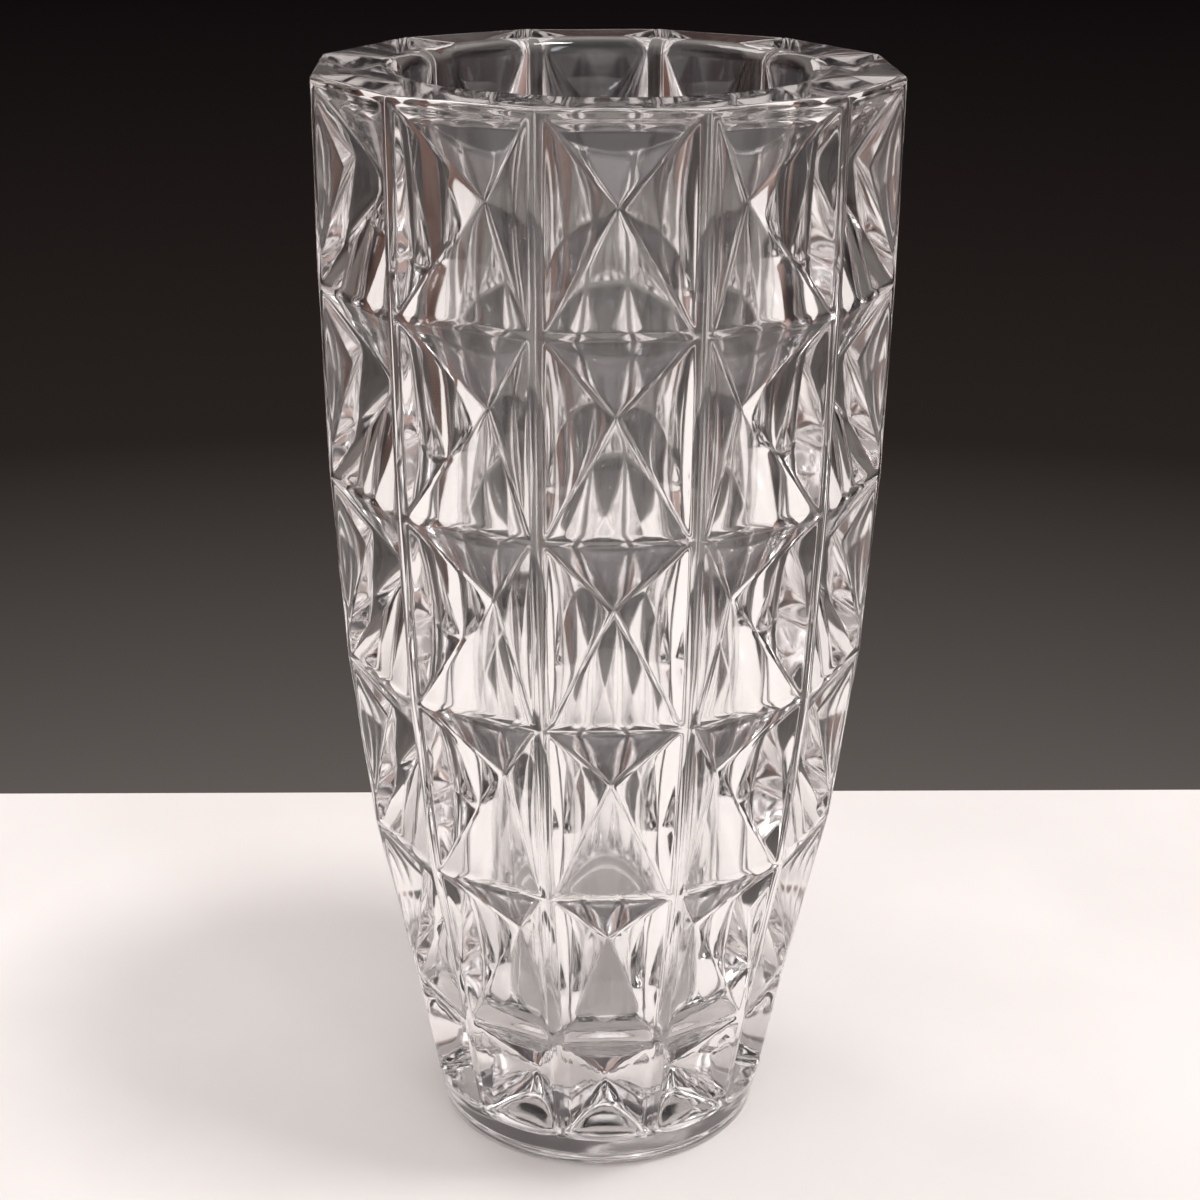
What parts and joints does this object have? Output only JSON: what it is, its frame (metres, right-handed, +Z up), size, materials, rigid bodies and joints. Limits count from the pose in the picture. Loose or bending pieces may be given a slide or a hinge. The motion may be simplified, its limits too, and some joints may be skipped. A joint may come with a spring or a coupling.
{
  "type": "cut crystal vase",
  "caption": "Heavy clear crystal vase with a twelve-sided tapering body of sunken pyramid cuts between narrow ribs, a thick flat rim, a smooth tapered bore and a round foot.",
  "frame": {"origin": "centre of the base, on the surface the vase stands on", "axes": "+Z up along the axis of the vase, -Y through the middle of one column of cut panels, +X to the right of it"},
  "size_m": [0.124, 0.124, 0.254],
  "materials": {
    "clear_crystal": "fire-polished clear crystal, smooth and glossy"
  },
  "bodies": {
    "root": {"vase_body": "clear_crystal"}
  },
  "joints": []
}
